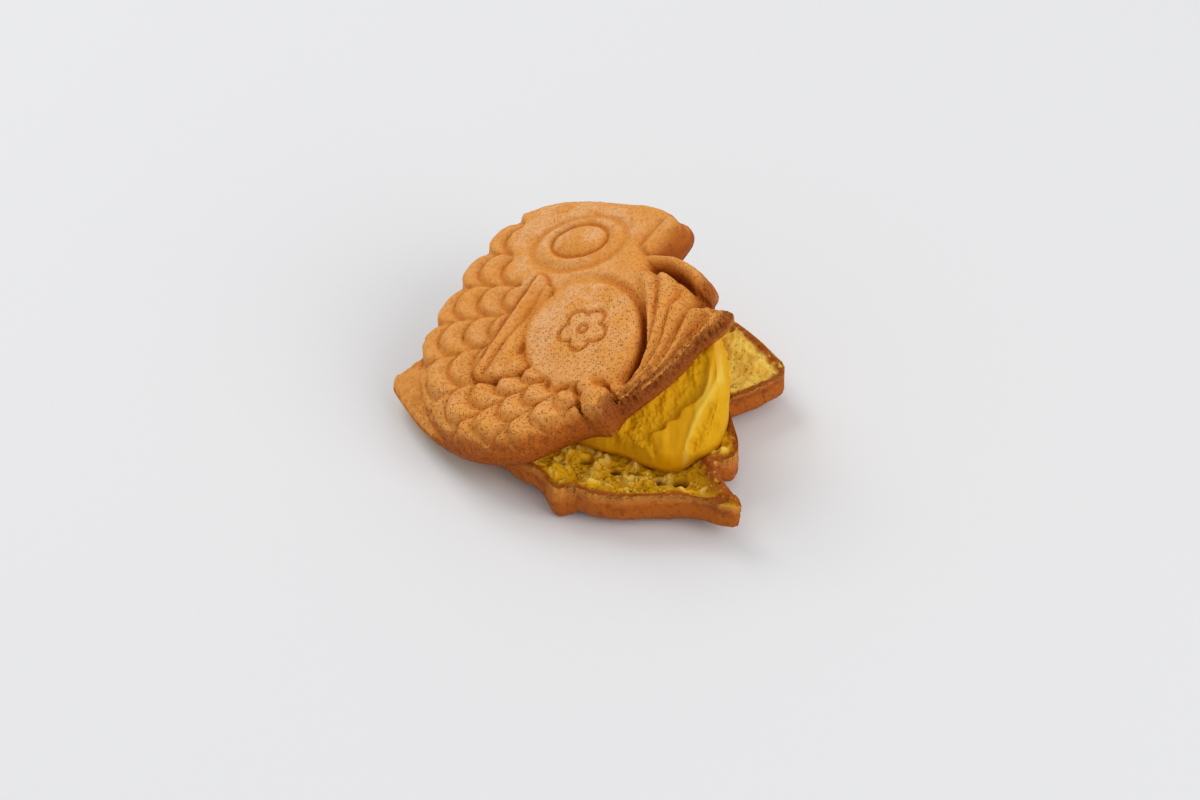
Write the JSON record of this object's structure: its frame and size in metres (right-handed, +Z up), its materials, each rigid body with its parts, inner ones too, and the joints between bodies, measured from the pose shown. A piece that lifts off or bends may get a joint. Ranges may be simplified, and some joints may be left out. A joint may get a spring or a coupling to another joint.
{
  "type": "taiyaki",
  "caption": "Fish-shaped griddle cake pulled open into two moulded halves with a smooth yellow filling showing between them.",
  "frame": {"origin": "middle of the footprint on the surface the cake lies on", "axes": "+Z up, +X towards the mouths, from tail to head, +Y away from the open front edge towards the back of the upper half"},
  "size_m": [0.1142, 0.1051, 0.0526],
  "materials": {
    "crust": "golden tan griddled crust with fine dark pores",
    "crumb": "yellow open crumb inside a browned crust wall",
    "filling": "smooth moist golden yellow paste with crumbly edges"
  },
  "bodies": {
    "root": {"upper_half": "crust", "lower_half": "crumb", "filling": "filling"}
  },
  "joints": []
}
